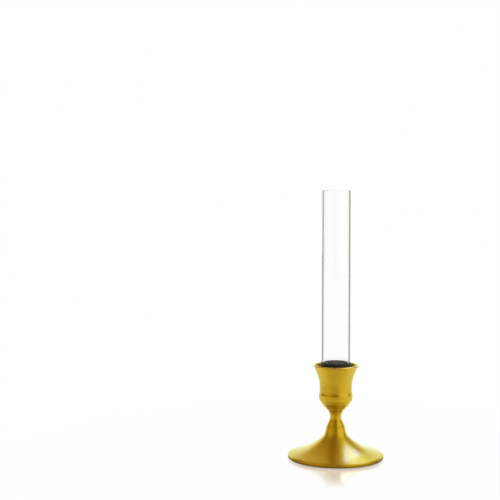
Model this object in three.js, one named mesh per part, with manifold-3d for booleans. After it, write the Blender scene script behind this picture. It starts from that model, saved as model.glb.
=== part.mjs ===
// Bud vase: a glass tube in a soft sleeve, standing in a turned metal candlestick.
// Millimetres, +Z up, origin on the axis at the underside of the base pad.

import * as THREE from 'three';
import { mergeVertices } from 'three/addons/utils/BufferGeometryUtils.js';
import Module from 'manifold-3d';

const wasm = await Module();
wasm.setup();

// Glass tube
const tubeDiameter = 22;
const tubeWall = 1.2;
const tubeLength = 164;

// Soft sleeve between the tube and the cup
const sleeveWall = 0.45;
const sleeveLength = 31.2;
const sleeveEdge = 0.2;
const sleeveFit = 0.1;
const sleeveSeatGap = 0.2;

// Candle cup, from its floor up: bowl, ledge, belt, throat, flare and rolled lip
const cupFit = 0.15;
const cupWall = 0.85;
const cupFloor = 0.6;
const cupHeight = 33.3;
const bowlOverhang = 0.2;
const bowlHeight = 5;
const bowlTuck = 0.85;
const bowlShoulder = 2.1;
const ledgeRise = 0.5;
const beltHeight = 5.9;
const beltProud = 0.6;
const beltInset = 0.8;
const throatHeight = 5;
const lipProud = 5.8;
const lipRoll = 2;
const flareStartPull = 6.4;
const flareEndPull = 5.5;
const flareLean = THREE.MathUtils.degToRad(18.7);
const rollFrom = THREE.MathUtils.degToRad(-130);
const rollTo = THREE.MathUtils.degToRad(165);

// Stem, from the foot up: spigot, collar, waist and flange
const stemHeight = 14.9;
const spigotRadius = 4;
const spigotLength = 0.8;
const spigotFit = 0.2;
const collarRadius = 7.2;
const collarHeight = 0.9;
const collarTaper = 0.3;
const collarStep = 0.4;
const seamChamfer = 0.25;
const stemBaseLean = 0.25;
const waistRadius = 4.36;
const waistHeight = 7.4;
const waistPull = 2.75;
const flangeRadius = 7.85;
const flangeThickness = 0.8;
const flangePull = 2.1;
const flangeLean = THREE.MathUtils.degToRad(41);

// Foot: a spun trumpet with a flat crown and a hemmed rim
const footDiameter = 74;
const footHeight = 24;
const footWall = 1.1;
const crownLean = 0.22;
const crownPull = 5;
const bendReach = 3.65;
const bendDrop = 9.1;
const bendAngle = THREE.MathUtils.degToRad(40.5);
const bendPullUp = 3;
const bendPullDown = 6.4;
const rimSlope = THREE.MathUtils.degToRad(13.3);
const rimPull = 14.2;
const rimBand = 1.5;
const rimRound = 1.2;
const hemWidth = 4.5;
const hemCorner = 0.3;

// Base pad
const padThickness = 0.5;
const padInset = 0.5;

// Bolt, washers and nut that hold the candlestick together
const boltDiameter = 4;
const boltClearance = 0.25;
const boltTail = 2.2;
const boltPoint = 0.5;
const headDiameter = 8;
const headHeight = 2.4;
const headCrown = 0.9;
const recessSpan = 4.2;
const recessSlot = 1;
const recessDepth = 1.3;
const washerDiameter = 9;
const washerThickness = 0.8;
const lockWasherDiameter = 7.6;
const lockWasherThickness = 1;
const lockWasherSlit = 0.6;
const lockWasherSlant = THREE.MathUtils.degToRad(30);
const nutWidth = 7;
const nutHeight = 3.2;
const nutChamfer = 0.45;
const threadClearance = 0.1;

// Facets round a turned piece and along its curves
const sides = 40;
const boltSides = 24;
const ballSteps = 7;
const curveSteps = 6;
const bendSteps = 4;

// Radii that follow from the fits
const tubeRadius = tubeDiameter / 2;
const sleeveBore = tubeRadius + sleeveFit;
const sleeveRadius = sleeveBore + sleeveWall;
const cupBore = sleeveRadius + cupFit;
const throatRadius = cupBore + cupWall;
const lipRadius = throatRadius + lipProud;
const bowlTopRadius = throatRadius - beltInset;
const bowlFootRadius = flangeRadius + bowlOverhang;
const footRadius = footDiameter / 2;
const boltRadius = boltDiameter / 2;
const boltHole = boltRadius + boltClearance;

// Heights up the stack, each piece resting on the one below
const footBase = padThickness;
const footTop = footBase + footHeight;
const stemTop = footTop + stemHeight;
const cupFloorTop = stemTop + cupFloor;
const headSeat = cupFloorTop + washerThickness;
const headTop = headSeat + headHeight;
const lipTop = stemTop + cupHeight;
const sleeveBottom = headTop + sleeveSeatGap;
const ballCentre = sleeveBottom + sleeveRadius;
const sleeveTop = sleeveBottom + sleeveLength;
const tubeTop = ballCentre - tubeRadius + tubeLength;

// Heights down from the crown of the foot, each piece hung on the one above
const crownUnderside = footTop - footWall;
const footWasherBottom = crownUnderside - washerThickness;
const lockWasherBottom = footWasherBottom - lockWasherThickness;
const nutBottom = lockWasherBottom - nutHeight;
const boltEnd = nutBottom - boltTail;

const quarter = Math.PI / 2;

function at(radius, height) {
  return new THREE.Vector2(radius, height);
}

function reach(from, angle, distance) {
  return at(from.x + distance * Math.cos(angle), from.y + distance * Math.sin(angle));
}

function arc(centre, radius, from, to, steps) {
  return new THREE.EllipseCurve(centre.x, centre.y, radius, radius, from, to, to < from).getPoints(steps);
}

function sweep(start, pullStart, pullEnd, end, steps) {
  return new THREE.CubicBezierCurve(start, pullStart, pullEnd, end).getPoints(steps);
}

// The inner face of a wall whose outer face is a run of points, with the metal on the left of the run
function setIn(run, thickness) {
  return run.map((point, index) => {
    const before = run[Math.max(index - 1, 0)];
    const after = run[Math.min(index + 1, run.length - 1)];
    const along = after.clone().sub(before).normalize();
    return at(point.x - along.y * thickness, point.y + along.x * thickness);
  });
}

// Revolves a section, listed outer face upwards, about the vertical axis
function turned(section, count = sides) {
  const geometry = new THREE.LatheGeometry(section, count);
  geometry.rotateX(quarter);
  return geometry;
}

function ring(inner, outer, bottom, top, count = boltSides) {
  return turned([at(inner, bottom), at(outer, bottom), at(outer, top), at(inner, top), at(inner, bottom)], count);
}

function toSolid(geometry) {
  const bare = geometry.clone();
  bare.deleteAttribute('normal');
  bare.deleteAttribute('uv');
  const merged = mergeVertices(bare);
  const corners = Array.from(merged.index.array);
  const triVerts = [];
  for (let first = 0; first < corners.length; first += 3) {
    const [a, b, c] = corners.slice(first, first + 3);
    if (a !== b && b !== c && c !== a) triVerts.push(a, b, c);
  }
  return new wasm.Manifold(new wasm.Mesh({
    numProp: 3,
    vertProperties: Float32Array.from(merged.attributes.position.array),
    triVerts: Uint32Array.from(triVerts),
  }));
}

function toGeometry(solid) {
  const mesh = solid.getMesh();
  const geometry = new THREE.BufferGeometry();
  geometry.setAttribute('position', new THREE.BufferAttribute(Float32Array.from(mesh.vertProperties), 3));
  geometry.setIndex(new THREE.BufferAttribute(Uint32Array.from(mesh.triVerts), 1));
  geometry.computeVertexNormals();
  return geometry;
}

// Round-bottomed tube with a fire-polished rim
function glassTube() {
  const centre = at(0, ballCentre);
  const rimRadius = tubeWall / 2;
  const rimCentre = at(tubeRadius - rimRadius, tubeTop - rimRadius);
  return turned([
    ...arc(centre, tubeRadius, -quarter, 0, ballSteps),
    ...arc(rimCentre, rimRadius, 0, Math.PI, bendSteps),
    ...arc(centre, tubeRadius - tubeWall, 0, -quarter, ballSteps),
  ]);
}

// Soft cap that the end of the tube sits in
function tubeSleeve() {
  const centre = at(0, ballCentre);
  return turned([
    ...arc(centre, sleeveRadius, -quarter, 0, ballSteps),
    at(sleeveRadius, sleeveTop - sleeveEdge),
    at(sleeveRadius - sleeveEdge, sleeveTop),
    at(sleeveBore + sleeveEdge, sleeveTop),
    at(sleeveBore, sleeveTop - sleeveEdge),
    ...arc(centre, sleeveBore, 0, -quarter, ballSteps),
  ]);
}

// Spun cup: the bowl and the flare keep one wall thickness, the belt stands proud of the throat
function candleCup() {
  const ledge = stemTop + bowlHeight;
  const beltBottom = ledge + ledgeRise;
  const beltTop = beltBottom + beltHeight;
  const flareBottom = beltTop + throatHeight;
  const rollRadius = lipRoll / 2;
  const rollCentre = at(lipRadius - rollRadius, lipTop - rollRadius);
  const flareTop = reach(rollCentre, rollFrom, rollRadius);
  const bowl = new THREE.QuadraticBezierCurve(
    at(bowlFootRadius, stemTop),
    at(bowlTopRadius - bowlTuck, stemTop + bowlShoulder),
    at(bowlTopRadius, ledge),
  ).getPoints(bendSteps);
  const belt = sweep(
    at(throatRadius + beltProud * 0.4, beltBottom),
    at(throatRadius + beltProud * 0.85, beltBottom + beltHeight / 3),
    at(throatRadius + beltProud * 1.6, beltTop - beltHeight * 0.15),
    at(throatRadius, beltTop),
    curveSteps,
  );
  const flare = sweep(
    at(throatRadius, flareBottom),
    at(throatRadius, flareBottom + flareStartPull),
    reach(flareTop, -quarter - flareLean, flareEndPull),
    flareTop,
    curveSteps,
  );
  return turned([
    at(boltHole, stemTop),
    ...bowl,
    ...belt,
    ...flare,
    ...arc(rollCentre, rollRadius, rollFrom, rollTo, ballSteps).slice(1),
    ...setIn(flare, cupWall).reverse(),
    at(cupBore, beltBottom),
    ...setIn(bowl, cupWall).reverse().slice(0, -1),
    at(bowlFootRadius - cupWall, cupFloorTop),
    at(boltHole, cupFloorTop),
    at(boltHole, stemTop),
  ]);
}

// Waisted stem, bored for the bolt, with a spigot that centres it on the foot
function stem() {
  const collarTop = footTop + collarHeight;
  const base = at(collarRadius - collarTaper - collarStep, collarTop + collarStep);
  const waist = at(waistRadius, footTop + waistHeight);
  const edgeRadius = flangeThickness / 2;
  const edgeCentre = at(flangeRadius - edgeRadius, stemTop - edgeRadius);
  const underFlange = at(edgeCentre.x, edgeCentre.y - edgeRadius);
  const lowerRise = (waist.y - base.y) / 2;
  return turned([
    at(boltHole, footTop - spigotLength),
    at(spigotRadius, footTop - spigotLength),
    at(spigotRadius, footTop),
    at(collarRadius - seamChamfer, footTop),
    at(collarRadius, footTop + seamChamfer),
    at(collarRadius - collarTaper, collarTop),
    ...sweep(
      base,
      at(base.x - stemBaseLean * lowerRise, base.y + lowerRise),
      at(waist.x, waist.y - lowerRise),
      waist,
      curveSteps,
    ),
    ...sweep(
      waist,
      at(waist.x, waist.y + waistPull),
      reach(underFlange, -Math.PI + flangeLean, flangePull),
      underFlange,
      curveSteps,
    ).slice(1),
    ...arc(edgeCentre, edgeRadius, -quarter, quarter, bendSteps).slice(1),
    at(boltHole, stemTop),
    at(boltHole, footTop - spigotLength),
  ]);
}

// Spun trumpet: its flare runs from the crown out to a rounded rim, hemmed under to a flat land
function foot() {
  const rimShoulder = footBase + rimBand;
  const roundCentre = at(footRadius - rimRound, rimShoulder);
  const rimEdge = reach(roundCentre, quarter - rimSlope, rimRound);
  const crownEdge = at(collarRadius, footTop - seamChamfer);
  const bend = at(collarRadius + bendReach, footTop - bendDrop);
  const flare = [
    ...sweep(
      rimEdge,
      reach(rimEdge, Math.PI - rimSlope, rimPull),
      reach(bend, -bendAngle, bendPullDown),
      bend,
      curveSteps,
    ),
    ...sweep(
      bend,
      reach(bend, Math.PI - bendAngle, bendPullUp),
      at(crownEdge.x + crownLean * crownPull, crownEdge.y - crownPull),
      crownEdge,
      bendSteps,
    ).slice(1),
  ];
  const hemEdge = footRadius - hemWidth;
  const inner = setIn(flare, footWall).filter((point) => point.x < hemEdge && point.y < crownUnderside);
  const hemTop = inner[0].y - (hemEdge - inner[0].x) * Math.tan(rimSlope);
  return turned([
    at(hemEdge, footBase),
    at(footRadius - hemCorner, footBase),
    at(footRadius, footBase + hemCorner),
    ...arc(roundCentre, rimRound, 0, quarter - rimSlope, bendSteps),
    ...flare.slice(1),
    at(collarRadius - seamChamfer, footTop),
    at(spigotRadius + spigotFit, footTop),
    at(spigotRadius + spigotFit, crownUnderside),
    at(collarRadius - footWall, crownUnderside),
    ...inner.reverse(),
    at(hemEdge, hemTop),
    at(hemEdge, footBase),
  ]);
}

function basePad() {
  const radius = footRadius - padInset;
  return turned([at(0, 0), at(radius, 0), at(radius, padThickness), at(0, padThickness)]);
}

// Pan-head bolt with a cross recess, its shank drawn at the thread's outer diameter
function stemBolt() {
  const headRadius = headDiameter / 2;
  const blank = turned([
    at(0, boltEnd),
    at(boltRadius - boltPoint, boltEnd),
    at(boltRadius, boltEnd + boltPoint),
    at(boltRadius, headSeat),
    at(headRadius, headSeat),
    at(headRadius, headTop - headCrown),
    at(headRadius - headCrown / 3, headTop - headCrown / 3),
    at(headRadius - headCrown, headTop),
    at(0, headTop),
  ], boltSides);
  const half = recessSpan / 2;
  const slot = recessSlot / 2;
  const cross = new THREE.Shape([
    at(half, -slot), at(half, slot), at(slot, slot), at(slot, half), at(-slot, half), at(-slot, slot),
    at(-half, slot), at(-half, -slot), at(-slot, -slot), at(-slot, -half), at(slot, -half), at(slot, -slot),
  ]);
  const recess = new THREE.ExtrudeGeometry(cross, { depth: headHeight, bevelEnabled: false });
  recess.translate(0, 0, headTop - recessDepth);
  return toGeometry(toSolid(blank).subtract(toSolid(recess)));
}

// Spring washer, cut through on a slant
function lockWasher() {
  const body = ring(boltHole, lockWasherDiameter / 2, lockWasherBottom, footWasherBottom);
  const slit = new THREE.BoxGeometry(lockWasherDiameter, lockWasherSlit, 3 * lockWasherThickness);
  slit.rotateX(lockWasherSlant);
  slit.translate(lockWasherDiameter / 2, 0, (lockWasherBottom + footWasherBottom) / 2);
  return toGeometry(toSolid(body).subtract(toSolid(slit)));
}

// Hexagon nut, its corners turned down at both faces
function hexNut() {
  const cornerRadius = nutWidth / Math.sqrt(3);
  const corners = Array.from({ length: 6 }, (_, index) => {
    const angle = index * Math.PI / 3;
    return at(cornerRadius * Math.cos(angle), cornerRadius * Math.sin(angle));
  });
  const outline = new THREE.Shape(corners);
  const bore = boltRadius + threadClearance;
  outline.holes.push(new THREE.Path().absarc(0, 0, bore, 0, 2 * Math.PI, true));
  const blank = new THREE.ExtrudeGeometry(outline, {
    depth: nutHeight,
    bevelEnabled: false,
    curveSegments: boltSides / 2,
  });
  blank.translate(0, 0, nutBottom);
  const faceRadius = nutWidth / 2;
  const turnedDown = turned([
    at(0, nutBottom),
    at(faceRadius, nutBottom),
    at(faceRadius + 2 * nutChamfer, nutBottom + nutChamfer),
    at(faceRadius + 2 * nutChamfer, lockWasherBottom - nutChamfer),
    at(faceRadius, lockWasherBottom),
    at(0, lockWasherBottom),
  ], boltSides);
  return toGeometry(toSolid(blank).intersect(toSolid(turnedDown)));
}

function finish(color, roughness, metalness, extra = {}) {
  return new THREE.MeshStandardMaterial({ color, roughness, metalness, ...extra });
}

const satinGold = () => finish(0xb78d16, 0.34, 1);
const zincSteel = () => finish(0xb4b7bb, 0.4, 1);
const blackSilicone = () => finish(0x17181a, 0.62, 0);
const clearGlass = () => finish(0xf2f7f6, 0.04, 0, { transparent: true, opacity: 0.25 });
const darkFelt = () => finish(0x2b2926, 0.95, 0);

const vase = new THREE.Group();

function add(name, geometry, material) {
  const mesh = new THREE.Mesh(geometry, material);
  mesh.name = name;
  vase.add(mesh);
}

add('base_pad', basePad(), darkFelt());
add('foot', foot(), satinGold());
add('stem', stem(), satinGold());
add('candle_cup', candleCup(), satinGold());
add('stem_bolt', stemBolt(), zincSteel());
add('head_washer', ring(boltHole, washerDiameter / 2, cupFloorTop, headSeat), zincSteel());
add('foot_washer', ring(boltHole, washerDiameter / 2, footWasherBottom, crownUnderside), zincSteel());
add('lock_washer', lockWasher(), zincSteel());
add('hex_nut', hexNut(), zincSteel());
add('tube_sleeve', tubeSleeve(), blackSilicone());
add('glass_tube', glassTube(), clearGlass());

export default vase;
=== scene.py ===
import math

import bmesh
import bpy
from mathutils import Matrix, Vector


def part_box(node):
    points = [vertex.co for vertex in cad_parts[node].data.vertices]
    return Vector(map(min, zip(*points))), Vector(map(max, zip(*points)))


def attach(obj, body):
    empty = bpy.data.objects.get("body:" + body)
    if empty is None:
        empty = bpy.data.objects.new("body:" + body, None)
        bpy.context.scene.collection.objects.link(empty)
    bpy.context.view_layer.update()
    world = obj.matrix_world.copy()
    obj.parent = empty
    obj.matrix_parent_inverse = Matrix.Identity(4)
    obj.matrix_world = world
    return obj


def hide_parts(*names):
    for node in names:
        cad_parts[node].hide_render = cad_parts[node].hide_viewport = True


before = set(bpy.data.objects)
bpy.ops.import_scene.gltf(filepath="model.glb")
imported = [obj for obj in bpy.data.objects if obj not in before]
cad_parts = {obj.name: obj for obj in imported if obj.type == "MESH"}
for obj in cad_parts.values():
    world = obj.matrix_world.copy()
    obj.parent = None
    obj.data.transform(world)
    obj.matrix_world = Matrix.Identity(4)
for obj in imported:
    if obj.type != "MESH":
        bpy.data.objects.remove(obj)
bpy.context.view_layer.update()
scene = bpy.context.scene

MM = 0.001


def turned_span(node):
    """Outer radius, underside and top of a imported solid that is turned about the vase's axis."""
    low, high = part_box(node)
    return high.x, low.z, high.z


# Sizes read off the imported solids
TUBE_RADIUS, TUBE_BOTTOM, TUBE_TOP = turned_span("glass_tube")
SLEEVE_RADIUS, SLEEVE_BOTTOM, SLEEVE_TOP = turned_span("tube_sleeve")
LIP_RADIUS, CUP_BOTTOM, LIP_TOP = turned_span("candle_cup")
FLANGE_RADIUS, SPIGOT_BOTTOM, STEM_TOP = turned_span("stem")
FOOT_RADIUS, FOOT_BOTTOM, FOOT_TOP = turned_span("foot")
PAD_RADIUS, PAD_BOTTOM, PAD_TOP = turned_span("base_pad")
HEAD_RADIUS, BOLT_END, HEAD_TOP = turned_span("stem_bolt")
HEAD_WASHER_RADIUS, HEAD_WASHER_BOTTOM, HEAD_SEAT = turned_span("head_washer")
FOOT_WASHER_RADIUS, FOOT_WASHER_BOTTOM, CROWN_UNDERSIDE = turned_span("foot_washer")
SPRING_RADIUS, SPRING_BOTTOM, SPRING_TOP = turned_span("lock_washer")
NUT_CORNER, NUT_BOTTOM, NUT_TOP = turned_span("hex_nut")

# Glass tube and its sleeve
TUBE_WALL = 1.2 * MM
SLEEVE_WALL = 0.45 * MM
SLEEVE_EDGE = 0.2 * MM

# Candle cup: its bowl
CUP_WALL = 0.85 * MM
CUP_FLOOR = 0.6 * MM
THROAT_RADIUS = SLEEVE_RADIUS + 1.0 * MM
BOWL_FOOT_RADIUS = FLANGE_RADIUS + 0.2 * MM
BOWL_FOOT_SOFTENING = 0.25 * MM
BOWL_TOP_RADIUS = THROAT_RADIUS - 0.8 * MM
BOWL_TUCK = 0.85 * MM
BOWL_SHOULDER = 2.1 * MM
BOWL_HEIGHT = 5.0 * MM
LEDGE_RISE = 0.5 * MM

# Candle cup: its belt, with the share of its proud height that each point of its curve has
BELT_HEIGHT = 5.9 * MM
BELT_PROUD = 0.6 * MM
BELT_EDGE_SHARE = 0.4
BELT_LOWER_SHARE = 0.85
BELT_UPPER_SHARE = 1.6
BELT_UPPER_DROP = 0.15
BELT_EDGE_SOFTENING = 0.3 * MM
BELT_TOP_SOFTENING = 1.7 * MM

# Candle cup: its throat, flare and brim
THROAT_HEIGHT = 5.0 * MM
FLARE_START_PULL = 6.4 * MM
FLARE_END_PULL = 5.5 * MM
FLARE_LEAN = 18.7
LIP_ROLL = 1.0 * MM
ROLL_FROM = -130
BRIM_ROUND = 0.75 * MM
BRIM_FROM = -110
BRIM_TO = 86
BRIM_WIDTH = 2.3 * MM
BRIM_DISH = 0.15 * MM
MOUTH_SOFTENING = 0.6 * MM

# Candle cup: points of its curves at which softened corners end
BOWL_FROM = 4
BELT_FROM = 3
BELT_UNTIL = 18
BELT_TOP_AIM = -9
MOUTH_UNTIL = 2

# Stem
SPIGOT_RADIUS = 4.0 * MM
COLLAR_RADIUS = 7.2 * MM
COLLAR_HEIGHT = 0.9 * MM
COLLAR_TAPER = 0.3 * MM
COLLAR_STEP = 0.4 * MM
COLLAR_SOFTENING = 0.2 * MM
SEAM_CHAMFER = 0.25 * MM
STEM_BASE_LEAN = 0.25
WAIST_RADIUS = 4.36 * MM
WAIST_HEIGHT = 7.4 * MM
WAIST_PULL = 2.75 * MM
FLANGE_EDGE = 0.4 * MM
FLANGE_PULL = 2.1 * MM
FLANGE_LEAN = 41

# Foot
FOOT_WALL = 1.1 * MM
SPIGOT_FIT = 0.2 * MM
CROWN_LEAN = 0.22
CROWN_PULL = 5.0 * MM
BEND_REACH = 3.65 * MM
BEND_DROP = 9.1 * MM
BEND_ANGLE = 40.5
BEND_PULL_UP = 3.0 * MM
BEND_PULL_DOWN = 6.4 * MM
BEND_EASE_REACH = 21
BEND_EASE_PASSES = 250
RIM_SLOPE = 13.3
RIM_PULL = 14.2 * MM
RIM_BAND = 1.5 * MM
RIM_ROUND = 1.2 * MM
HEM_WIDTH = 4.5 * MM
HEM_CORNER = 0.3 * MM

# Felt pad
PAD_EDGE = 0.15 * MM

# Bolt
BOLT_HOLE = 2.25 * MM
THREAD_OUTER = 2.0 * MM
THREAD_DEPTH = 0.36 * MM
THREAD_PITCH = 0.7 * MM
POINT_TURNS = 1.2
POINT_SHARE = 0.6
SHANK_OVERLAP = 0.3 * MM
HEAD_CROWN = 0.9 * MM
HEAD_CROWN_REACH = 1.6
RECESS_SPAN = 4.2 * MM
RECESS_SLOT = 1.0 * MM
RECESS_DEPTH = 1.3 * MM
RECESS_TAPER = 0.62
RECESS_OVERSHOOT = 0.25

# Washers and nut
WASHER_EDGE = 0.12 * MM
SPRING_SLIT = 0.6 * MM
SPRING_SLANT = 30
NUT_BORE = 2.1 * MM
NUT_COUNTERSINK = 0.3 * MM
NUT_TURN_DOWN = 0.5
NUT_FACE_INSET = 0.05 * MM
NUT_CORNER_EDGE = 0.03 * MM

# Fineness of the pieces
SIDES = 256
BOLT_SIDES = 96
THREAD_SIDES = 48
THREAD_ROWS_A_TURN = 6
THREAD_END_ROWS = 4
BALL_STEPS = 36
CURVE_STEPS = 32
HEAD_STEPS = 12
ROUND_STEPS = 10
EDGE_STEPS = 6
SMALL_STEPS = 4
SHARP_ANGLE = math.radians(34)
WELD = 0.002 * MM

# Polish of a surface, which also marks painted light: inner faces not polished, the sleeve's inner face
# painted light grey in place of light, worn to a higher gleam round the brim
UNPOLISHED_AND_PAINTED_LIGHT = 0.0
POLISHED = 1.0
WORN_BRIGHT = 1.6

WHITE = (1.0, 1.0, 1.0, 1.0)


class Wire:
    """An output socket of a node tree. Arithmetic on it adds Math nodes."""

    def __init__(self, tree, socket=None):
        self.tree = tree
        self.socket = socket

    def node(self, kind, settings=None, values=None, output=0):
        """Adds a node: its settings first, then the values or links of its sockets."""
        made = self.tree.nodes.new(kind)
        for name, value in (settings or {}).items():
            setattr(made, name, value)
        for name, value in (values or {}).items():
            if isinstance(value, Wire):
                self.tree.links.new(value.socket, made.inputs[name])
            else:
                made.inputs[name].default_value = value
        return Wire(self.tree, made.outputs[output] if made.outputs else None)

    def maths(self, operation, *others):
        """A Math node on this value, and on others after it."""
        return self.node("ShaderNodeMath", {"operation": operation}, dict(enumerate((self, *others))))

    def maths_after(self, operation, other):
        """A Math node on another value, and on this one after it."""
        return self.node("ShaderNodeMath", {"operation": operation}, {0: other, 1: self})

    def __add__(self, other):
        return self.maths("ADD", other)

    def __radd__(self, other):
        return self.maths_after("ADD", other)

    def __sub__(self, other):
        return self.maths("SUBTRACT", other)

    def __rsub__(self, other):
        return self.maths_after("SUBTRACT", other)

    def __mul__(self, other):
        return self.maths("MULTIPLY", other)

    def __rmul__(self, other):
        return self.maths_after("MULTIPLY", other)

    def __truediv__(self, other):
        return self.maths("DIVIDE", other)

    def __rtruediv__(self, other):
        return self.maths_after("DIVIDE", other)

    def ramp(self, low, high, start=0.0, end=1.0, course="SMOOTHSTEP"):
        """Goes from start to end as this value goes from low to high."""
        return self.node(
            "ShaderNodeMapRange",
            {"interpolation_type": course},
            {"Value": self, "From Min": low, "From Max": high, "To Min": start, "To Max": end},
        )

    def blend(self, first, second):
        """Mixes two colours, this value giving the share of the second."""
        return self.node("ShaderNodeMix", {"data_type": "RGBA"}, {0: self, 6: first, 7: second}, 2)

    def parts(self):
        """The x, y and z of a vector."""
        first = self.node("ShaderNodeSeparateXYZ", values={0: self})
        outputs = first.socket.node.outputs
        return [Wire(self.tree, outputs[index]) for index in range(3)]


def from_srgb(red, green, blue):
    """A colour written in the usual 0 to 255 steps, as the linear values that a socket takes."""
    steps = [channel / 255 for channel in (red, green, blue)]
    linear = [step / 12.92 if step <= 0.04045 else ((step + 0.055) / 1.055) ** 2.4 for step in steps]
    return (*linear, 1.0)


def blank_nodes(holder):
    """Clears the nodes of a material or a world, and gives a Wire to build on."""
    holder.use_nodes = True
    holder.node_tree.nodes.clear()
    return Wire(holder.node_tree)


def new_finish(name, **constants):
    """A material with one Principled shader, and a Wire to build on."""
    finish = bpy.data.materials.new(name)
    wire = blank_nodes(finish)
    values = {socket.replace("_", " "): value for socket, value in constants.items()}
    shader = wire.node("ShaderNodeBsdfPrincipled", values=values)
    wire.node("ShaderNodeOutputMaterial", values={"Surface": shader})
    return finish, wire, shader


def feed(shader, **wires):
    """Links wires to the shader's sockets of those names."""
    for socket, wire in wires.items():
        wire.tree.links.new(wire.socket, shader.socket.node.inputs[socket.replace("_", " ")])


def own_place(wire):
    """Where a point lies in its piece's own coordinates."""
    return wire.node("ShaderNodeTexCoord", output="Object")


def off_axis(x, y):
    """How far a point lies from the vase's axis."""
    return (x * x + y * y).maths("SQRT")


def mark(wire, name):
    """A value that the mesh carries at its points."""
    return wire.node("ShaderNodeAttribute", {"attribute_name": name}, output="Fac")


def noise(wire, place, scale, detail, roughness=0.5, output="Fac"):
    """Noise over a place."""
    return wire.node(
        "ShaderNodeTexNoise",
        values={"Vector": place, "Scale": scale, "Detail": detail, "Roughness": roughness},
        output=output,
    )


def line_noise(wire, distance, scale, detail, roughness):
    """Noise along a distance."""
    return wire.node(
        "ShaderNodeTexNoise",
        {"noise_dimensions": "1D"},
        {"W": distance, "Scale": scale, "Detail": detail, "Roughness": roughness},
    )


def glance(wire, **values):
    """0 where a surface is seen face on, and 1 where it is seen along its length."""
    return wire.node("ShaderNodeLayerWeight", values={"Blend": 0.5, **values}, output="Facing")


def relief(wire, height, strength, depth):
    """A bump of that depth."""
    return wire.node("ShaderNodeBump", values={"Strength": strength, "Distance": depth, "Height": height})


def light_path(wire, *rays):
    """What kind of ray meets the surface, one wire for each kind."""
    return [wire.node("ShaderNodeLightPath", output=ray) for ray in rays]


def satin_gold():
    """Gold plate over turned brass: fine rings left by the tool, under a gleaming lacquer."""
    darker_inside = from_srgb(124, 86, 16)
    dull_plate = from_srgb(205, 164, 26)
    bright_plate = from_srgb(213, 172, 34)
    finish, wire, shader = new_finish(
        "satin_gold",
        Metallic=1.0,
        Anisotropic=0.6,
        Anisotropic_Rotation=0.25,
        Specular_Tint=(1.0, 1.0, 0.7, 1.0),
        Coat_Roughness=0.20,
        Coat_IOR=2.0,
    )
    millimetres = mark(wire, "meridian") * 1000
    polish_and_painted_light = mark(wire, "polish_and_painted_light")
    fine_rings = line_noise(wire, millimetres, scale=7.0, detail=3.0, roughness=0.7)
    broad_rings = line_noise(wire, millimetres, scale=0.9, detail=2.0, roughness=0.5)
    clouds = noise(wire, own_place(wire), scale=60.0, detail=3.0, roughness=0.55)
    rings = fine_rings * 0.6 + broad_rings * 0.4
    tone = (rings * 0.65 + clouds * 0.35).ramp(0.3, 0.7)
    # The cup's inner wall, marked as not polished, is a darker brown-gold.
    colour = polish_and_painted_light.blend(darker_inside, tone.blend(dull_plate, bright_plate))
    roughness = 0.60 - polish_and_painted_light * 0.22 + rings * 0.08 + clouds * 0.04
    glancing = glance(wire)
    lacquer = (glancing.ramp(0.1, 0.5, 0.15, 0.48) + glancing.ramp(0.76, 0.9, 0.0, 0.4)) * polish_and_painted_light
    tooling = relief(wire, rings, strength=0.25, depth=0.03 * MM)
    feed(shader, Base_Color=colour, Roughness=roughness, Coat_Weight=lacquer, Normal=tooling)
    return finish


def clear_glass():
    """Drawn tube: clear face on, painted grey shade where the wall is seen along its length, with faint
    draw lines.
    """
    clear = (0.99, 0.99, 0.99, 1.0)
    painted_edge_shade = (0.07, 0.07, 0.08, 1.0)
    edge_from = 0.29
    edge_to = 0.17
    finish, wire, shader = new_finish("clear_glass", Transmission_Weight=1.0, IOR=1.47)
    place = own_place(wire)
    x, y, _ = place.parts()
    outside = off_axis(x, y).ramp(TUBE_RADIUS - 0.7 * TUBE_WALL, TUBE_RADIUS - 0.5 * TUBE_WALL)
    upwards = wire.node("ShaderNodeCombineXYZ", values={"X": 0.0, "Y": 0.0, "Z": 1.0})
    facing = 1 - glance(wire)
    overhead = 1 - glance(wire, Normal=upwards)
    level = 1 - overhead * overhead
    around = facing * facing / level.maths("MAXIMUM", 0.02)
    # Painted shade: dark grey where the wall is seen along its length, in place of the dark lines that
    # refraction gives at the tube's edges.
    edge = around.ramp(edge_from, edge_to) * outside
    colour = edge.blend(clear, painted_edge_shade)
    stretched = wire.node(
        "ShaderNodeVectorMath",
        {"operation": "MULTIPLY"},
        {0: place, 1: (1.0, 1.0, 0.02)},
    )
    draw_lines = noise(wire, stretched, scale=400.0, detail=2.0)
    roughness = draw_lines * 0.012
    feed(shader, Base_Color=colour, Roughness=roughness)
    return finish


def black_silicone():
    """Soft black rubber with a bloom in patches; its inner face is painted light grey, a painted light in
    place of the light that comes to it through the glass.
    """
    finish, wire, shader = new_finish("black_silicone", Sheen_Weight=0.12, Sheen_Roughness=0.5)
    place = own_place(wire)
    bloom = noise(wire, place, scale=240.0, detail=5.0)
    grain = noise(wire, place, scale=5200.0, detail=2.0)
    patches = bloom.ramp(0.35, 0.7)
    # Painted light: the inner face takes a light grey in place of the light that comes through the glass.
    painted_light_inside = patches.blend(from_srgb(172, 174, 179), from_srgb(190, 192, 196))
    dark = patches.blend(from_srgb(21, 23, 42), from_srgb(37, 41, 64))
    colour = mark(wire, "polish_and_painted_light").blend(painted_light_inside, dark)
    roughness = 0.46 + bloom * 0.18
    skin = relief(wire, grain, strength=0.3, depth=0.02 * MM)
    feed(shader, Base_Color=colour, Roughness=roughness, Normal=skin)
    return finish


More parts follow.
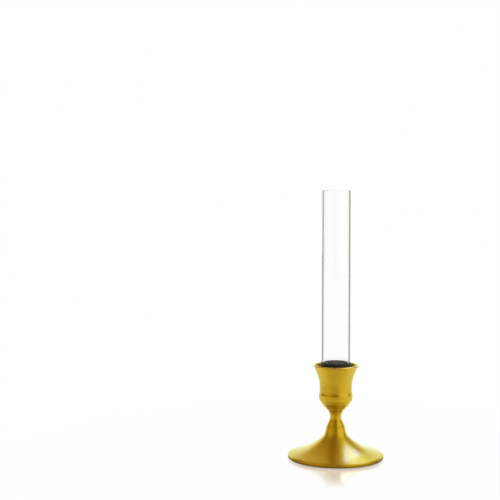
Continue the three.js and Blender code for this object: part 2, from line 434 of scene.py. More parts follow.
def zinc_steel():
    """Zinc-plated steel: bluish, slightly mottled."""
    finish, wire, shader = new_finish("zinc_steel", Metallic=1.0)
    place = own_place(wire)
    mottle = noise(wire, place, scale=900.0, detail=4.0)
    scratches = noise(wire, place, scale=4200.0, detail=2.0)
    colour = mottle.ramp(0.3, 0.7).blend(from_srgb(176, 180, 186), from_srgb(205, 208, 210))
    roughness = 0.28 + mottle * 0.22
    scored = relief(wire, scratches, strength=0.2, depth=0.02 * MM)
    feed(shader, Base_Color=colour, Roughness=roughness, Normal=scored)
    return finish


def pressed_felt():
    """Tan pressed felt: matted fibres of two tones."""
    finish, wire, shader = new_finish("pressed_felt", Sheen_Weight=0.08, Sheen_Roughness=0.6)
    place = own_place(wire)
    warp = noise(wire, place, scale=700.0, detail=3.0, output="Color")
    bent = wire.node(
        "ShaderNodeVectorMath",
        {"operation": "MULTIPLY_ADD"},
        {0: warp, 1: (0.0016, 0.0016, 0.0016), 2: place},
    )
    fibres = noise(wire, bent, scale=2600.0, detail=4.0)
    colour = fibres.ramp(0.35, 0.65).blend(from_srgb(136, 102, 52), from_srgb(180, 144, 86))
    roughness = 0.9 + fibres * 0.08
    matted = relief(wire, fibres, strength=0.8, depth=0.12 * MM)
    feed(shader, Base_Color=colour, Roughness=roughness, Normal=matted)
    return finish


def polar(point, angle, distance):
    """The point that lies that far from another, at an angle in degrees from the outward direction."""
    turn = math.radians(angle)
    return (point[0] + distance * math.cos(turn), point[1] + distance * math.sin(turn))


def arc(centre, radius, start, end, steps):
    """Points along an arc, between two angles in degrees."""
    return [polar(centre, start + (end - start) * step / steps, radius) for step in range(steps + 1)]


def weighed(points, shares):
    """The mean of points of a profile, each with its share."""
    return tuple(sum(share * point[axis] for share, point in zip(shares, points)) for axis in (0, 1))


def sweep(start, pull_start, pull_end, end, steps=CURVE_STEPS):
    """Points along a cubic curve, as the same curve is drawn in the solids."""
    run = []
    for step in range(steps + 1):
        t = step / steps
        shares = ((1 - t) ** 3, 3 * t * (1 - t) ** 2, 3 * t * t * (1 - t), t ** 3)
        run.append(weighed((start, pull_start, pull_end, end), shares))
    return run


def set_in(run, thickness):
    """The inner face of a wall, its outer face given as a run with the metal on the left."""
    inner = []
    for index, point in enumerate(run):
        before = run[max(index - 1, 0)]
        after = run[min(index + 1, len(run) - 1)]
        along = (after[0] - before[0], after[1] - before[1])
        length = math.hypot(*along)
        inner.append((point[0] - along[1] / length * thickness, point[1] + along[0] / length * thickness))
    return inner


def softened(corner, before, after, size, steps=SMALL_STEPS):
    """A corner of a profile, rounded over that size."""
    ends = []
    for other in (before, after):
        share = size / math.dist(corner, other)
        ends.append(tuple(c + (o - c) * share for c, o in zip(corner, other)))
    run = []
    for step in range(steps + 1):
        t = step / steps
        shares = ((1 - t) ** 2, 2 * t * (1 - t), t * t)
        run.append(weighed((ends[0], corner, ends[1]), shares))
    return run


def eased(run, middle, reach, passes):
    """A run with its bend spread: points near the middle are drawn between their neighbours."""
    for _ in range(passes):
        drawn = list(run)
        for index in range(middle - reach, middle + reach + 1):
            share = 0.5 * (1 - abs(index - middle) / (reach + 1))
            drawn[index] = tuple(
                here + share * ((before + after) / 2 - here)
                for before, here, after in zip(run[index - 1], run[index], run[index + 1])
            )
        run = drawn
    return run


def new_tree(name, inputs):
    """A Geometry Nodes tree with named inputs, and a Wire for each of them."""
    tree = bpy.data.node_groups.new(name, "GeometryNodeTree")
    for label, kind in inputs.items():
        tree.interface.new_socket(label, in_out="INPUT", socket_type=kind)
    tree.interface.new_socket("Geometry", in_out="OUTPUT", socket_type="NodeSocketGeometry")
    source = tree.nodes.new("NodeGroupInput")
    return tree, {label: Wire(tree, source.outputs[label]) for label in inputs}


def end_tree(tree, geometry, finish):
    """Closes a tree: welded, realized, and given its material."""
    wire = Wire(tree)
    welded = wire.node("GeometryNodeMergeByDistance", values={"Geometry": geometry, "Distance": WELD})
    realized = wire.node("GeometryNodeRealizeInstances", values={"Geometry": welded})
    coated = wire.node("GeometryNodeSetMaterial", values={"Geometry": realized, "Material": finish})
    wire.node("NodeGroupOutput", values={"Geometry": coated})
    return tree


def grid_place(wire, count):
    """Column and row of each point of a grid whose columns hold count points."""
    index = wire.node("GeometryNodeInputIndex")
    column = ((index + 0.5) / count).maths("FLOOR")
    return column, index - column * count


def turning_tree():
    """Revolves the points of a profile about the vertical axis."""
    tree, inputs = new_tree(
        "turn_on_lathe",
        {"Profile": "NodeSocketGeometry", "Sides": "NodeSocketInt", "Finish": "NodeSocketMaterial"},
    )
    wire = Wire(tree)
    profile, sides = inputs["Profile"], inputs["Sides"]
    count = wire.node("GeometryNodeAttributeDomainSize", {"component": "MESH"}, {"Geometry": profile})
    grid = wire.node("GeometryNodeMeshGrid", values={"Vertices X": sides + 1, "Vertices Y": count})
    column, row = grid_place(wire, count)
    point = wire.node(
        "GeometryNodeSampleIndex",
        {"data_type": "FLOAT_VECTOR", "domain": "POINT"},
        {"Geometry": profile, "Value": wire.node("GeometryNodeInputPosition"), "Index": row},
    )
    turned_point = wire.node(
        "ShaderNodeVectorRotate",
        {"rotation_type": "Z_AXIS"},
        {"Vector": point, "Angle": column / sides * math.tau},
    )
    marked = wire.node("GeometryNodeSetPosition", values={"Geometry": grid, "Position": turned_point})
    for name in ("meridian", "polish_and_painted_light"):
        on_profile = wire.node("GeometryNodeInputNamedAttribute", {"data_type": "FLOAT"}, {"Name": name})
        value = wire.node(
            "GeometryNodeSampleIndex",
            {"data_type": "FLOAT", "domain": "POINT"},
            {"Geometry": profile, "Value": on_profile, "Index": row},
        )
        marked = wire.node(
            "GeometryNodeStoreNamedAttribute",
            {"data_type": "FLOAT", "domain": "POINT"},
            {"Geometry": marked, "Name": name, "Value": value},
        )
    return end_tree(tree, marked, inputs["Finish"])


def thread_tree():
    """A threaded shank: the radius rises and falls once a pitch, and climbs one pitch a turn."""
    sizes = ("Outer Radius", "Depth", "Pitch", "Bottom", "Length")
    tree, inputs = new_tree(
        "cut_thread",
        {
            "Profile": "NodeSocketGeometry",
            **{size: "NodeSocketFloat" for size in sizes},
            "Sides": "NodeSocketInt",
            "Rows": "NodeSocketInt",
            "Finish": "NodeSocketMaterial",
        },
    )
    wire = Wire(tree)
    outer, depth, pitch, bottom, length = (inputs[size] for size in sizes)
    sides, rows = inputs["Sides"], inputs["Rows"]
    grid = wire.node("GeometryNodeMeshGrid", values={"Vertices X": sides + 1, "Vertices Y": rows})
    column, row = grid_place(wire, rows)
    climbed = ((row - 1) / (rows - 3)).ramp(0.0, 1.0, course="LINEAR")
    height = climbed * length
    turns = height / pitch
    phase = turns + column / sides
    groove = ((phase.maths("FRACT") - 0.5) * 2).maths("ABSOLUTE")
    point = turns.ramp(0.0, POINT_TURNS, 1.0, 0.0)
    radius = outer - depth * groove - depth * point * POINT_SHARE
    closed = row.maths("COMPARE", 0, 0.5) + row.maths("COMPARE", rows - 1, 0.5)
    angle = column / sides * math.tau
    open_radius = radius * (1 - closed)
    position = wire.node(
        "ShaderNodeCombineXYZ",
        values={
            "X": open_radius * angle.maths("COSINE"),
            "Y": open_radius * angle.maths("SINE"),
            "Z": height + bottom,
        },
    )
    placed = wire.node("GeometryNodeSetPosition", values={"Geometry": grid, "Position": position})
    return end_tree(tree, placed, inputs["Finish"])


def bake(piece):
    """Turns what a piece's modifiers make into its plain mesh, smooth but for its sharp edges."""
    bpy.context.view_layer.update()
    evaluated = piece.evaluated_get(bpy.context.evaluated_depsgraph_get())
    mesh = bpy.data.meshes.new_from_object(evaluated)
    piece.modifiers.clear()
    piece.data = mesh
    mesh.name = piece.name
    mesh.shade_smooth()
    mesh.set_sharp_from_angle(angle=SHARP_ANGLE)
    return piece


def run_tree(piece, tree, **settings):
    """Runs a tree on a piece, each input set by its identifier, and leaves a plain mesh."""
    modifier = piece.modifiers.new("shape", "NODES")
    modifier.node_group = tree
    for item in tree.interface.items_tree:
        label = item.name.replace(" ", "_")
        if item.in_out == "INPUT" and label in settings:
            modifier[item.identifier] = settings[label]
    return bake(piece)


def new_piece(name, points, edges=(), faces=()):
    """An object in the scene, with a mesh of those points, edges and faces."""
    mesh = bpy.data.meshes.new(name)
    mesh.from_pydata(points, edges, faces)
    piece = bpy.data.objects.new(name, mesh)
    scene.collection.objects.link(piece)
    return piece


def turned(name, profile, finish, sides=SIDES, unpolished_and_painted_light=(), worn=()):
    """A piece turned from a profile of radius and height, listed outer face upwards."""
    run = [profile[0]]
    for point in profile[1:]:
        if math.dist(point, run[-1]) > WELD:
            run.append(point)
    edges = [(index, index + 1) for index in range(len(run) - 1)]
    piece = new_piece(name, [(radius, 0.0, height) for radius, height in run], edges)
    lengths = [0.0]
    for before, after in zip(run, run[1:]):
        lengths.append(lengths[-1] + math.dist(before, after))
    unusual = {**dict.fromkeys(worn, WORN_BRIGHT), **dict.fromkeys(unpolished_and_painted_light, UNPOLISHED_AND_PAINTED_LIGHT)}
    polish_and_painted_light = [unusual.get(point, POLISHED) for point in run]
    for label, values in (("meridian", lengths), ("polish_and_painted_light", polish_and_painted_light)):
        piece.data.attributes.new(label, "FLOAT", "POINT").data.foreach_set("value", values)
    return run_tree(piece, TURN_ON_LATHE, Sides=sides, Finish=finish)


def looped(name, rings, finish, capped=False):
    """A piece skinned over rings of points: round to the first ring again, or capped at both ends."""
    size = len(rings[0])
    points = [point for ring in rings for point in ring]
    faces = []
    for ring in range(len(rings) - 1 if capped else len(rings)):
        here = ring * size
        there = (ring + 1) % len(rings) * size
        for step in range(size):
            follow = (step + 1) % size
            faces.append((here + step, here + follow, there + follow, there + step))
    if capped:
        faces.append(tuple(reversed(range(size))))
        faces.append(tuple((len(rings) - 1) * size + step for step in range(size)))
    piece = new_piece(name, points, faces=faces)
    piece.data.materials.append(finish)
    shell = bmesh.new()
    shell.from_mesh(piece.data)
    bmesh.ops.recalc_face_normals(shell, faces=shell.faces)
    shell.to_mesh(piece.data)
    shell.free()
    return bake(piece)


def on_circle(radius, angle, height):
    """A point at that angle round the vase's axis."""
    return (radius * math.cos(angle), radius * math.sin(angle), height)


def glass_tube():
    """A straight tube with a fire-polished rim and a round end."""
    centre = (0.0, TUBE_BOTTOM + TUBE_RADIUS)
    rim = TUBE_WALL / 2
    rim_centre = (TUBE_RADIUS - rim, TUBE_TOP - rim)
    profile = [
        *arc(centre, TUBE_RADIUS, -90, 0, BALL_STEPS),
        *arc(rim_centre, rim, 0, 180, 2 * ROUND_STEPS),
        *arc(centre, TUBE_RADIUS - TUBE_WALL, 0, -90, BALL_STEPS),
    ]
    return turned("clear_tube", profile, CLEAR_GLASS)


def tube_sleeve():
    """A thin sleeve round the tube's lower end, its top edge rounded."""
    centre = (0.0, SLEEVE_BOTTOM + SLEEVE_RADIUS)
    bore = SLEEVE_RADIUS - SLEEVE_WALL
    edge_height = SLEEVE_TOP - SLEEVE_EDGE
    inside = arc(centre, bore, 0, -90, BALL_STEPS)
    profile = [
        *arc(centre, SLEEVE_RADIUS, -90, 0, BALL_STEPS),
        *arc((SLEEVE_RADIUS - SLEEVE_EDGE, edge_height), SLEEVE_EDGE, 0, 90, ROUND_STEPS),
        *arc((bore + SLEEVE_EDGE, edge_height), SLEEVE_EDGE, 90, 180, ROUND_STEPS),
        *inside,
    ]
    # The inner face is marked to take painted light in the silicone.
    return turned("soft_sleeve", profile, BLACK_SILICONE, unpolished_and_painted_light=inside)


def candle_cup():
    """A spun cup: bowl, ledge, belt, throat and flare, with a flat rounded brim."""
    ledge = CUP_BOTTOM + BOWL_HEIGHT
    floor_top = CUP_BOTTOM + CUP_FLOOR
    belt_bottom = ledge + LEDGE_RISE
    belt_top = belt_bottom + BELT_HEIGHT
    flare_bottom = belt_top + THROAT_HEIGHT
    roll_centre = (LIP_RADIUS - LIP_ROLL, LIP_TOP - LIP_ROLL)
    flare_top = polar(roll_centre, ROLL_FROM, LIP_ROLL)
    bowl_foot = (BOWL_FOOT_RADIUS, CUP_BOTTOM)
    bowl_pull = (BOWL_TOP_RADIUS - BOWL_TUCK, CUP_BOTTOM + BOWL_SHOULDER)
    bowl_top = (BOWL_TOP_RADIUS, ledge)
    bowl_thirds = [
        tuple(near + (far - near) * 2 / 3 for near, far in zip(end, bowl_pull))
        for end in (bowl_foot, bowl_top)
    ]
    bowl = sweep(bowl_foot, *bowl_thirds, bowl_top)
    belt_edge = (THROAT_RADIUS + BELT_PROUD * BELT_EDGE_SHARE, belt_bottom)
    belt = sweep(
        belt_edge,
        (THROAT_RADIUS + BELT_PROUD * BELT_LOWER_SHARE, belt_bottom + BELT_HEIGHT / 3),
        (THROAT_RADIUS + BELT_PROUD * BELT_UPPER_SHARE, belt_top - BELT_HEIGHT * BELT_UPPER_DROP),
        (THROAT_RADIUS, belt_top),
    )
    flare = sweep(
        (THROAT_RADIUS, flare_bottom),
        (THROAT_RADIUS, flare_bottom + FLARE_START_PULL),
        polar(flare_top, -90 - FLARE_LEAN, FLARE_END_PULL),
        flare_top,
    )
    inner_flare = set_in(flare, CUP_WALL)[::-1]
    inner_bowl = [point for point in set_in(bowl, CUP_WALL) if point[1] > floor_top]
    inner_wall = [
        *inner_flare[MOUTH_UNTIL:],
        (THROAT_RADIUS - CUP_WALL, belt_bottom),
        *reversed(inner_bowl),
    ]
    brim_edge = (LIP_RADIUS - BRIM_ROUND, LIP_TOP - BRIM_ROUND)
    brim_inner = (LIP_RADIUS - BRIM_WIDTH, LIP_TOP - BRIM_DISH)
    brim = arc(brim_edge, BRIM_ROUND, BRIM_FROM, BRIM_TO, 2 * ROUND_STEPS)
    profile = [
        (BOLT_HOLE, CUP_BOTTOM),
        *softened(bowl_foot, (BOLT_HOLE, CUP_BOTTOM), bowl[BOWL_FROM], BOWL_FOOT_SOFTENING),
        *bowl[BOWL_FROM:],
        *softened(belt_edge, bowl_top, belt[BELT_FROM], BELT_EDGE_SOFTENING),
        *belt[BELT_FROM:BELT_UNTIL],
        *softened(belt[-1], belt[BELT_TOP_AIM], flare[0], BELT_TOP_SOFTENING, ROUND_STEPS),
        *flare,
        *brim,
        *softened(brim_inner, brim[-1], inner_wall[0], MOUTH_SOFTENING, ROUND_STEPS),
        *inner_wall,
        (BOWL_FOOT_RADIUS - CUP_WALL, floor_top),
        (BOLT_HOLE, floor_top),
        (BOLT_HOLE, CUP_BOTTOM),
    ]
    return turned("gold_cup", profile, SATIN_GOLD, unpolished_and_painted_light=inner_wall[1:], worn=brim)


def waisted_stem():
    """A turned stem: spigot, collar, waist and a thin flange."""
    collar_top = FOOT_TOP + COLLAR_HEIGHT
    collar_shoulder = (COLLAR_RADIUS - COLLAR_TAPER, collar_top)
    seam_edge = (COLLAR_RADIUS, FOOT_TOP + SEAM_CHAMFER)
    seam_centre = (COLLAR_RADIUS - SEAM_CHAMFER, FOOT_TOP + SEAM_CHAMFER)
    base = (COLLAR_RADIUS - COLLAR_TAPER - COLLAR_STEP, collar_top + COLLAR_STEP)
    waist = (WAIST_RADIUS, FOOT_TOP + WAIST_HEIGHT)
    edge_centre = (FLANGE_RADIUS - FLANGE_EDGE, STEM_TOP - FLANGE_EDGE)
    under_flange = (edge_centre[0], edge_centre[1] - FLANGE_EDGE)
    rise = (waist[1] - base[1]) / 2
    lower = sweep(
        base,
        (base[0] - STEM_BASE_LEAN * rise, base[1] + rise),
        (waist[0], waist[1] - rise),
        waist,
    )
    upper = sweep(
        waist,
        (waist[0], waist[1] + WAIST_PULL),
        polar(under_flange, -180 + FLANGE_LEAN, FLANGE_PULL),
        under_flange,
    )
    profile = [
        (BOLT_HOLE, SPIGOT_BOTTOM),
        (SPIGOT_RADIUS, SPIGOT_BOTTOM),
        (SPIGOT_RADIUS, FOOT_TOP),
        (COLLAR_RADIUS - SEAM_CHAMFER, FOOT_TOP),
        *arc(seam_centre, SEAM_CHAMFER, -90, 0, EDGE_STEPS)[1:],
        *softened(collar_shoulder, seam_edge, base, COLLAR_SOFTENING),
        *lower,
        *upper[1:],
        *arc(edge_centre, FLANGE_EDGE, -90, 90, 2 * ROUND_STEPS)[1:],
        (BOLT_HOLE, STEM_TOP),
        (BOLT_HOLE, SPIGOT_BOTTOM),
    ]
    return turned("gold_stem", profile, SATIN_GOLD)


def trumpet_foot():
    """A spun foot: a thin trumpet with a rounded, hemmed rim and a flat crown."""
    rim_shoulder = FOOT_BOTTOM + RIM_BAND
    round_centre = (FOOT_RADIUS - RIM_ROUND, rim_shoulder)
    rim_edge = polar(round_centre, 90 - RIM_SLOPE, RIM_ROUND)
    seam_centre = (COLLAR_RADIUS - SEAM_CHAMFER, FOOT_TOP - SEAM_CHAMFER)
    hem_centre = (FOOT_RADIUS - HEM_CORNER, FOOT_BOTTOM + HEM_CORNER)
    crown_edge = (COLLAR_RADIUS, FOOT_TOP - SEAM_CHAMFER)
    bend = (COLLAR_RADIUS + BEND_REACH, FOOT_TOP - BEND_DROP)
    below_bend = sweep(
        rim_edge,
        polar(rim_edge, 180 - RIM_SLOPE, RIM_PULL),
        polar(bend, -BEND_ANGLE, BEND_PULL_DOWN),
        bend,
    )
    above_bend = sweep(
        bend,
        polar(bend, 180 - BEND_ANGLE, BEND_PULL_UP),
        (crown_edge[0] + CROWN_LEAN * CROWN_PULL, crown_edge[1] - CROWN_PULL),
        crown_edge,
    )
    flare = eased([*below_bend, *above_bend[1:]], CURVE_STEPS, BEND_EASE_REACH, BEND_EASE_PASSES)
    hem_edge = FOOT_RADIUS - HEM_WIDTH
    inner = [p for p in set_in(flare, FOOT_WALL) if p[0] < hem_edge and p[1] < CROWN_UNDERSIDE]
    hem_top = inner[0][1] - (hem_edge - inner[0][0]) * math.tan(math.radians(RIM_SLOPE))
    bore = SPIGOT_RADIUS + SPIGOT_FIT
    profile = [
        (hem_edge, FOOT_BOTTOM),
        *arc(hem_centre, HEM_CORNER, -90, 0, ROUND_STEPS),
        *arc(round_centre, RIM_ROUND, 0, 90 - RIM_SLOPE, ROUND_STEPS),
        *flare[1:],
        *arc(seam_centre, SEAM_CHAMFER, 0, 90, EDGE_STEPS)[1:],
        (bore, FOOT_TOP),
        (bore, CROWN_UNDERSIDE),
        (COLLAR_RADIUS - FOOT_WALL, CROWN_UNDERSIDE),
        *reversed(inner),
        (hem_edge, hem_top),
        (hem_edge, FOOT_BOTTOM),
    ]
    return turned("gold_foot", profile, SATIN_GOLD)


def felt_pad():
    """A thin felt disc with soft edges."""
    profile = [
        (0.0, PAD_BOTTOM),
        *arc((PAD_RADIUS - PAD_EDGE, PAD_BOTTOM + PAD_EDGE), PAD_EDGE, -90, 0, SMALL_STEPS),
        *arc((PAD_RADIUS - PAD_EDGE, PAD_TOP - PAD_EDGE), PAD_EDGE, 0, 90, SMALL_STEPS),
        (0.0, PAD_TOP),
    ]
    return turned("felt_disc", profile, PRESSED_FELT)


def flat_washer(name, radius, bottom, top):
    """A stamped washer: its upper edge rounded by the punch, its hole slightly broken."""
    punch_round = 2 * WASHER_EDGE
    profile = [
        (BOLT_HOLE + WASHER_EDGE, bottom),
        (radius - WASHER_EDGE / 2, bottom),
        (radius, bottom + WASHER_EDGE / 2),
        *arc((radius - punch_round, top - punch_round), punch_round, 0, 90, EDGE_STEPS),
        (BOLT_HOLE + WASHER_EDGE, top),
        (BOLT_HOLE, top - WASHER_EDGE),
        (BOLT_HOLE, bottom + WASHER_EDGE),
        (BOLT_HOLE + WASHER_EDGE, bottom),
    ]
    return turned(name, profile, ZINC_STEEL, BOLT_SIDES)


def spring_washer():
    """A ring of square wire, cut through on a slant."""
    middle = (SPRING_BOTTOM + SPRING_TOP) / 2
    section = [
        (BOLT_HOLE + WASHER_EDGE, SPRING_BOTTOM),
        (SPRING_RADIUS - WASHER_EDGE, SPRING_BOTTOM),
        (SPRING_RADIUS, SPRING_BOTTOM + WASHER_EDGE),
        (SPRING_RADIUS, SPRING_TOP - WASHER_EDGE),
        (SPRING_RADIUS - WASHER_EDGE, SPRING_TOP),
        (BOLT_HOLE + WASHER_EDGE, SPRING_TOP),
        (BOLT_HOLE, SPRING_TOP - WASHER_EDGE),
        (BOLT_HOLE, SPRING_BOTTOM + WASHER_EDGE),
    ]
    slope = -math.tan(math.radians(SPRING_SLANT))
    half_slit = SPRING_SLIT / 2 / math.cos(math.radians(SPRING_SLANT))
    rings = []
    for step in range(BOLT_SIDES + 1):
        share = step / BOLT_SIDES
        ring = []
        for radius, height in section:
            lean = slope * (height - middle)
            first = math.asin((lean + half_slit) / radius)
            last = math.tau + math.asin((lean - half_slit) / radius)
            ring.append(on_circle(radius, first + (last - first) * share, height))
        rings.append(ring)
    return looped("split_washer", rings, ZINC_STEEL, capped=True)


def hexagon_nut():
    """A hexagon whose corners are turned down at both faces, round a countersunk bore."""
    flat = NUT_CORNER * math.cos(math.pi / 6)
    face = flat - NUT_FACE_INSET
    columns = []
    for step in range(BOLT_SIDES):
        angle = math.tau * step / BOLT_SIDES
        off_flat = (angle % (math.pi / 3)) - math.pi / 6
        outer = flat / math.cos(off_flat)
        drop = (outer - flat) * NUT_TURN_DOWN
        section = (
            (NUT_BORE, NUT_BOTTOM + NUT_COUNTERSINK),
            (NUT_BORE + NUT_COUNTERSINK, NUT_BOTTOM),
            (face, NUT_BOTTOM),
            (outer, NUT_BOTTOM + drop + NUT_CORNER_EDGE),
            (outer, NUT_TOP - drop - NUT_CORNER_EDGE),
            (face, NUT_TOP),
            (NUT_BORE + NUT_COUNTERSINK, NUT_TOP),
            (NUT_BORE, NUT_TOP - NUT_COUNTERSINK),
        )
        columns.append([on_circle(radius, angle, height) for radius, height in section])
    return looped("hexagon_nut", list(zip(*columns)), ZINC_STEEL)


def cross_recess():
    """The shape of the driver: a cross that narrows towards its tip."""
    half, slot = RECESS_SPAN / 2, RECESS_SLOT / 2
    outline = [
        (half, -slot), (half, slot), (slot, slot), (slot, half), (-slot, half), (-slot, slot),
        (-half, slot), (-half, -slot), (-slot, -slot), (-slot, -half), (slot, -half), (slot, -slot),
    ]
    levels = (
        (HEAD_TOP - RECESS_DEPTH, RECESS_TAPER),
        (HEAD_TOP + RECESS_DEPTH * RECESS_OVERSHOOT, 1.0 + (1.0 - RECESS_TAPER) * RECESS_OVERSHOOT),
    )
    rings = [[(x * scale, y * scale, height) for x, y in outline] for height, scale in levels]
    return looped("driver", rings, ZINC_STEEL, capped=True)


def pan_head_bolt():
    """A turned pan head, driven through a tapered cross recess, on a threaded shank."""
    profile = [
        (0.0, HEAD_SEAT),
        (HEAD_RADIUS - WASHER_EDGE, HEAD_SEAT),
        (HEAD_RADIUS, HEAD_SEAT + WASHER_EDGE),
        *sweep(
            (HEAD_RADIUS, HEAD_TOP - HEAD_CROWN),
            (HEAD_RADIUS, HEAD_TOP - HEAD_CROWN / 3),
            (HEAD_RADIUS - HEAD_CROWN / 2, HEAD_TOP),
            (HEAD_RADIUS - HEAD_CROWN_REACH * HEAD_CROWN, HEAD_TOP),
            HEAD_STEPS,
        ),
        (0.0, HEAD_TOP),
    ]
    head = turned("pan_head_bolt", profile, ZINC_STEEL, BOLT_SIDES)
    length = HEAD_SEAT + SHANK_OVERLAP - BOLT_END
    shank = run_tree(
        new_piece("shank", [(0.0, 0.0, 0.0)]),
        CUT_THREAD,
        Outer_Radius=THREAD_OUTER,
        Depth=THREAD_DEPTH,
        Pitch=THREAD_PITCH,
        Bottom=BOLT_END,
        Length=length,
        Sides=THREAD_SIDES,
        Rows=int(length / THREAD_PITCH * THREAD_ROWS_A_TURN) + THREAD_END_ROWS,
        Finish=ZINC_STEEL,
    )
    recess = cross_recess()
    for tool, operation in ((recess, "DIFFERENCE"), (shank, "UNION")):
        cut = head.modifiers.new(operation.lower(), "BOOLEAN")
        cut.object = tool
        cut.operation = operation
        cut.solver = "EXACT"
    bake(head)
    for tool in (recess, shank):
        bpy.data.objects.remove(tool)
    return head


# Finishes
SATIN_GOLD = satin_gold()
CLEAR_GLASS = clear_glass()
BLACK_SILICONE = black_silicone()
ZINC_STEEL = zinc_steel()
PRESSED_FELT = pressed_felt()

# Trees that shape the turned and threaded pieces
TURN_ON_LATHE = turning_tree()
CUT_THREAD = thread_tree()

# Camera, just below the mouth of the tube and turned a little to the left of the vase
CAMERA_PLACE = (0.0, -0.8535, 0.1972)
CAMERA_TURN = math.radians(4.490)
CAMERA_TILT = math.radians(2.379)
CAMERA_ROLL = math.radians(0.05)
CAMERA_LENS = 79.2
CAMERA_SENSOR = 36.0
CAMERA_NEAR = 0.01
camera_data = bpy.data.cameras.new("camera")
camera_data.lens = CAMERA_LENS
camera_data.sensor_width = CAMERA_SENSOR
camera_data.clip_start = CAMERA_NEAR
camera = bpy.data.objects.new("camera", camera_data)
camera.matrix_world = (
    Matrix.Translation(CAMERA_PLACE)
    @ Matrix.Rotation(CAMERA_TURN, 4, "Z")
    @ Matrix.Rotation(math.pi / 2 - CAMERA_TILT, 4, "X")
    @ Matrix.Rotation(CAMERA_ROLL, 4, "Z")
)
scene.collection.objects.link(camera)
scene.camera = camera

# Pieces, each on its body
for piece, body, node, slot in (
    (glass_tube(), "tube", "glass_tube", "clear_glass"),
    (tube_sleeve(), "sleeve", "tube_sleeve", "black_silicone"),
    (candle_cup(), "holder", "candle_cup", "satin_gold"),
    (waisted_stem(), "holder", "stem", "satin_gold"),
    (trumpet_foot(), "holder", "foot", "satin_gold"),
    (felt_pad(), "holder", "base_pad", "felt"),
    (pan_head_bolt(), "holder", "stem_bolt", "zinc_steel"),
    (
        flat_washer("cup_washer", HEAD_WASHER_RADIUS, HEAD_WASHER_BOTTOM, HEAD_SEAT),
        "holder", "head_washer", "zinc_steel",
    ),
    (
        flat_washer("crown_washer", FOOT_WASHER_RADIUS, FOOT_WASHER_BOTTOM, CROWN_UNDERSIDE),
        "holder", "foot_washer", "zinc_steel",
    ),
    (spring_washer(), "holder", "lock_washer", "zinc_steel"),
    (hexagon_nut(), "holder", "hex_nut", "zinc_steel"),
):
    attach(piece, body)
    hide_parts(node)
    node == "base_pad"

# Key lamp: large, soft and cool, high behind the vase on the right
KEY_PLACE = (0.196, 0.398, 0.662)
KEY_AIM = (0.0, 0.0, 0.02)
KEY_ALONG = (0.058, -0.33, 0.17)
KEY_LENGTH = 0.425
KEY_WIDTH = 0.34
KEY_POWER = 1.6
KEY_COLOUR = (0.68, 1.04, 2.0)


def key_lamp():
    """A soft rectangular lamp that faces the foot, its length laid along a direction."""
    data = bpy.data.lights.new("key", "AREA")
    data.shape = "RECTANGLE"
    data.size = KEY_LENGTH
    data.size_y = KEY_WIDTH
    data.energy = KEY_POWER
    data.color = KEY_COLOUR
    lamp = bpy.data.objects.new("key", data)
    back = (Vector(KEY_PLACE) - Vector(KEY_AIM)).normalized()
    side = Vector(KEY_ALONG)
    side = (side - side.dot(back) * back).normalized()
    turn = Matrix((side, back.cross(side), back)).transposed().to_4x4()
    lamp.matrix_world = Matrix.Translation(KEY_PLACE) @ turn
    lamp.visible_camera = False
    lamp.visible_transmission = False
    scene.collection.objects.link(lamp)


# Studio that the metal and the glass mirror: a dim warm room, and panels in it
ROOM = (0.27, 0.19, 0.08)
PANEL_EDGE = 6

# Left, right, bottom and top of each panel in degrees, 0 being straight behind the vase, and its light
STUDIO_PANELS = (
    (-54, -14, -20, 25, (1.12, 1.46, 1.24)),
    (-14, 18, -20, 25, (0.88, 1.10, 0.98)),
    (18, 58, -20, 20, (0.86, 1.04, 0.66)),
    (-4, 21, 20, 38, (0.62, 0.76, 0.14)),
    (-42, -2, 26, 62, (0.50, 0.44, 0.08)),
    (-152, -87, -20, 52, (0.52, 0.46, 0.05)),
    (81, 154, -20, 52, (1.05, 1.18, 0.52)),
    (-60, 0, 62, 100, (0.28, 0.25, 0.08)),
    (100, 160, 58, 100, (0.55, 0.50, 0.20)),
)


def within(angle, low, high):
    """1 between two angles in degrees, with soft edges."""
    risen = angle.ramp(low - PANEL_EDGE, low + PANEL_EDGE)
    return risen * angle.ramp(high + PANEL_EDGE, high - PANEL_EDGE)


def white_studio():
    """White to the eye, through glass and in the floor's gleam, and a dim room with panels to metal."""
    world = bpy.data.worlds.new("studio")
    wire = blank_nodes(world)
    x, y, z = wire.node("ShaderNodeTexCoord", output="Generated").parts()
    seen, through, mirrored, films = light_path(
        wire, "Is Camera Ray", "Is Transmission Ray", "Is Glossy Ray", "Transparent Depth"
    )
    off_floor = films.ramp(1.2, 1.8) * mirrored
    shown = seen.maths("MAXIMUM", through).maths("MAXIMUM", off_floor)
    turn = x.maths("ARCTAN2", y) * math.degrees(1)
    height = z.maths("ARCSINE") * math.degrees(1)
    light = ROOM
    for left, right, bottom, top, panel in STUDIO_PANELS:
        share = within(turn, left, right) * within(height, bottom, top)
        light = wire.node(
            "ShaderNodeVectorMath",
            {"operation": "MULTIPLY_ADD"},
            {0: share, 1: panel, 2: light},
        )
    colour = shown.blend(light, WHITE)
    background = wire.node("ShaderNodeBackground", values={"Color": colour, "Strength": 1.0})
    wire.node("ShaderNodeOutputWorld", values={"Surface": background})
    scene.world = world


# Floor: how far it reaches, and the colours that the eye and the metal see
FLOOR_REACH = 4.0
FLOOR_WHITE = (0.95, 0.95, 0.95, 1.0)
# Painted shade: a dark floor colour under and round the foot, seen by the metal and not by the eye, in
# place of the foot's contact shade.
PAINTED_SHADE_UNDER_FOOT = (0.30, 0.21, 0.08, 1.0)
MIRRORED_BEHIND = (1.18, 1.30, 0.72, 1.0)
MIRRORED_AHEAD = (0.90, 0.88, 0.46, 1.0)
MIRRORED_GLOW = 0.8

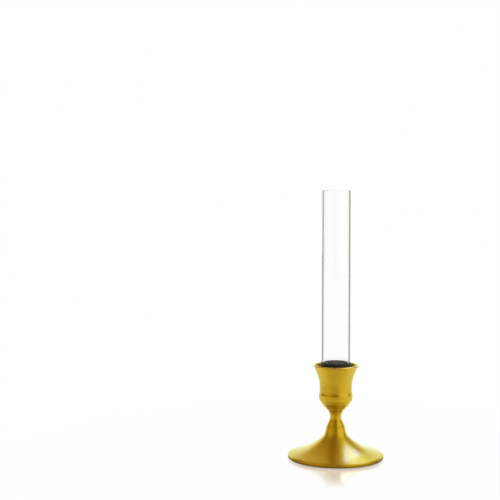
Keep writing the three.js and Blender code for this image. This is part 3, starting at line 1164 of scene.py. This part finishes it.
# Floor: radii, or distances to the back, over which one look passes into another
PAINTED_SHADE_FADE = (0.042, 0.054)
SHADOW_FADE = (0.30, 0.09)
SHADOW_SHARE = 0.06
GLOW_FADE = (0.75, 0.40)
AHEAD_FADE = (0.02, -0.25)

# Floor: the patch in front of the foot that gleams
GLEAM_HALF_WIDTH = 0.047
GLEAM_HALF_DEPTH = 0.062
GLEAM_AHEAD = 0.03
GLEAM_ROUGHNESS = 0.14
GLEAM_GLANCE = (0.35, 0.72)
GLEAM_FADE = (1.2, 0.1)
GLEAM_SHARE = 0.54

# Clear film over the floor, which tells the floor's gleam from the metal's
FILM_REACH = 0.12
FILM_HEIGHT = 0.02 * MM


def stage_sheet(name, reach, height, finish):
    """A flat square of the stage, round the vase's axis."""
    corners = [(-reach, -reach), (reach, -reach), (reach, reach), (-reach, reach)]
    sheet = new_piece(name, [(x, y, height) for x, y in corners], faces=[(0, 1, 2, 3)])
    sheet.data.materials.append(finish)


def pale_floor():
    """White floor that keeps the vase's soft shadow and a faint gleam near its foot, and shows the metal a
    painted shade under the foot.
    """
    finish = bpy.data.materials.new("floor")
    wire = blank_nodes(finish)
    x, y, _ = own_place(wire).parts()
    radius = off_axis(x, y)
    seen, through, mirrored = light_path(wire, "Is Camera Ray", "Is Transmission Ray", "Is Glossy Ray")
    shown = seen.maths("MAXIMUM", through)
    # Painted shade: inside these radii the floor that the metal sees turns dark.
    outside_painted_shade = radius.ramp(*PAINTED_SHADE_FADE)
    floor_colour_and_painted_shade = shown.blend(outside_painted_shade.blend(PAINTED_SHADE_UNDER_FOOT, FLOOR_WHITE), FLOOR_WHITE)
    matt = wire.node("ShaderNodeBsdfDiffuse", values={"Color": floor_colour_and_painted_shade})
    glow = y.ramp(*AHEAD_FADE).blend(MIRRORED_BEHIND, MIRRORED_AHEAD)
    lit = (mirrored * (1 - shown) * radius.ramp(*GLOW_FADE)).blend(WHITE, glow)
    white = wire.node("ShaderNodeEmission", values={"Color": lit, "Strength": 1.0})
    shaded = 1 - shown * (1 - radius.ramp(*SHADOW_FADE) * SHADOW_SHARE) - mirrored * outside_painted_shade * MIRRORED_GLOW
    surface = wire.node("ShaderNodeMixShader", values={0: shaded, 1: white, 2: matt})
    gleam = wire.node("ShaderNodeBsdfGlossy", values={"Color": WHITE, "Roughness": GLEAM_ROUGHNESS})
    across = x / GLEAM_HALF_WIDTH
    ahead = (y + GLEAM_AHEAD) / GLEAM_HALF_DEPTH
    patch = (across * across + ahead * ahead).ramp(*GLEAM_FADE, 0.0, GLEAM_SHARE)
    share = shown * glance(wire).ramp(*GLEAM_GLANCE) * patch
    polished = wire.node("ShaderNodeMixShader", values={0: share, 1: surface, 2: gleam})
    wire.node("ShaderNodeOutputMaterial", values={"Surface": polished})
    stage_sheet("floor", FLOOR_REACH, 0.0, finish)


def floor_film():
    """Clear film that a ray mirrored by the floor passes twice, and one mirrored by the metal does not."""
    finish = bpy.data.materials.new("floor_film")
    wire = blank_nodes(finish)
    wire.node("ShaderNodeOutputMaterial", values={"Surface": wire.node("ShaderNodeBsdfTransparent")})
    stage_sheet("floor_film", FILM_REACH, FILM_HEIGHT, finish)


key_lamp()
white_studio()
pale_floor()
floor_film()
scene.view_settings.view_transform = "Standard"
